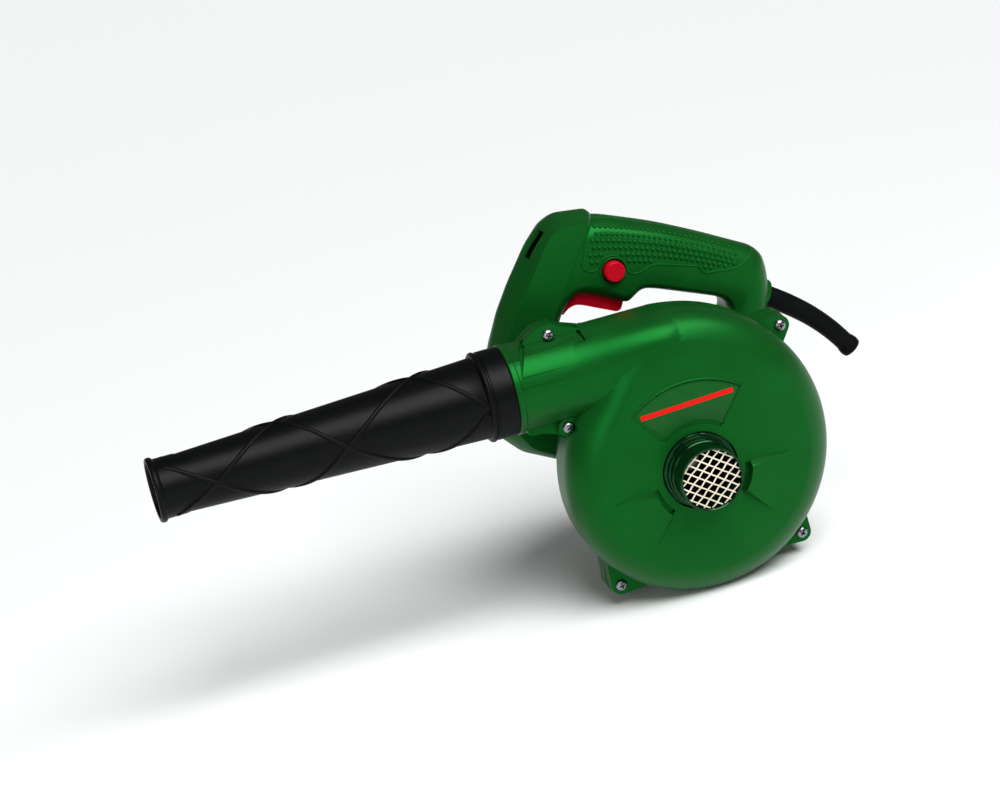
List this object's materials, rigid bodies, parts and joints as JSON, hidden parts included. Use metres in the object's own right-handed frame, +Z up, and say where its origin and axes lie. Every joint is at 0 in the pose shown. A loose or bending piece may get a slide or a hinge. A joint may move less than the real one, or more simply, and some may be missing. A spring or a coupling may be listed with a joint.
{
  "type": "leaf blower",
  "caption": "Corded hand-held leaf blower with a scroll fan case, tapered round nozzle, side motor, closed handle with trigger and lock button",
  "frame": {"origin": "centre of the bounding box seen from above, at the level the blower stands on", "axes": "+X is opposite to the nozzle, towards the cord guard; +Y is the motor side, opposite to the air intake; +Z is up"},
  "size_m": [0.4784, 0.1774, 0.2454],
  "materials": {
    "case_green": "dark green glossy moulded plastic, slightly mottled",
    "collar_green": "very glossy dark green intake collar",
    "label_green": "brighter smooth green label plate with one plain red diagonal stripe",
    "nozzle_black": "satin black moulded plastic with fine grain",
    "guard_black": "soft black cord guard",
    "trigger_red": "glossy dark red",
    "button_red": "glossy red",
    "mesh_cream": "pale cream wire",
    "screw_steel": "bright plated steel",
    "shaft_steel": "ground steel",
    "bearing_steel": "bearing steel with smooth shields",
    "spring_steel": "spring wire",
    "core_iron": "stacked laminations, drawn as one block",
    "winding_copper": "enamelled copper wire",
    "commutator_copper": "bare copper bars",
    "brass_box": "pressed brass",
    "carbon": "carbon block",
    "fan_plastic": "dark grey moulded plastic",
    "switch_plastic": "black moulded plastic",
    "capacitor_shell": "yellow epoxy"
  },
  "bodies": {
    "housing": {"fan_cover_front": "case_green", "fan_case_rear": "case_green", "intake_collar": "collar_green", "intake_mesh": "mesh_cream", "label_plate": "label_green", "bearing_front": "bearing_steel", "bearing_rear": "bearing_steel", "stator_core": "core_iron", "field_coil_rear": "winding_copper", "field_coil_front": "winding_copper", "brush_holder_rear": "brass_box", "brush_holder_front": "brass_box", "carbon_brush_rear": "carbon", "carbon_brush_front": "carbon", "brush_spring_rear": "spring_steel", "brush_spring_front": "spring_steel", "brush_cap_rear": "switch_plastic", "brush_cap_front": "switch_plastic", "handle_half_near": "case_green", "handle_half_far": "case_green", "trigger_pin": "shaft_steel", "trigger_spring": "spring_steel", "switch_body": "switch_plastic", "capacitor": "capacitor_shell", "cord_clamp": "switch_plastic", "cord_guard": "guard_black", "case_screw_1": "screw_steel", "case_screw_2": "screw_steel", "case_screw_3": "screw_steel", "case_screw_4": "screw_steel", "case_screw_5": "screw_steel", "housing_screw_1": "screw_steel", "housing_screw_2": "screw_steel", "housing_screw_3": "screw_steel", "handle_screw_1": "screw_steel", "handle_screw_2": "screw_steel", "handle_screw_3": "screw_steel", "handle_screw_4": "screw_steel", "handle_screw_5": "screw_steel", "clamp_screw_1": "screw_steel", "clamp_screw_2": "screw_steel"},
    "rotor": {"motor_shaft": "shaft_steel", "armature_core": "core_iron", "armature_winding_front": "winding_copper", "armature_winding_rear": "winding_copper", "commutator": "commutator_copper", "cooling_fan": "fan_plastic", "fan_wheel": "fan_plastic", "fan_washer": "screw_steel", "fan_nut": "screw_steel"},
    "trigger_lever": {"trigger": "trigger_red"},
    "lock_plunger": {"lock_button": "button_red", "lock_spring": "spring_steel"},
    "nozzle_tube": {"nozzle": "nozzle_black"}
  },
  "joints": [
    {"name": "rotor_spin", "type": "hinge", "parent": "housing", "child": "rotor", "pos_m": [0.0921, -0.02935, 0.08542], "axis": [0, 1, 0], "continuous": true},
    {"name": "trigger_pull", "type": "hinge", "parent": "housing", "child": "trigger_lever", "pos_m": [0.0541, 0.02565, 0.19592], "axis": [0, -1, 0], "range_deg": [0, 8], "stiffness_Nm_per_rad": 0.6, "springref_deg": -8.02, "deforming": ["trigger_spring"]},
    {"name": "lock_press", "type": "slide", "parent": "housing", "child": "lock_plunger", "axis": [0, 1, 0], "range_m": [0, 0.0035], "stiffness_N_per_m": 300, "springref_m": -0.002},
    {"name": "nozzle_pull_off", "type": "slide", "parent": "housing", "child": "nozzle_tube", "axis": [-1, 0, 0], "range_m": [0, 0.03]}
  ]
}
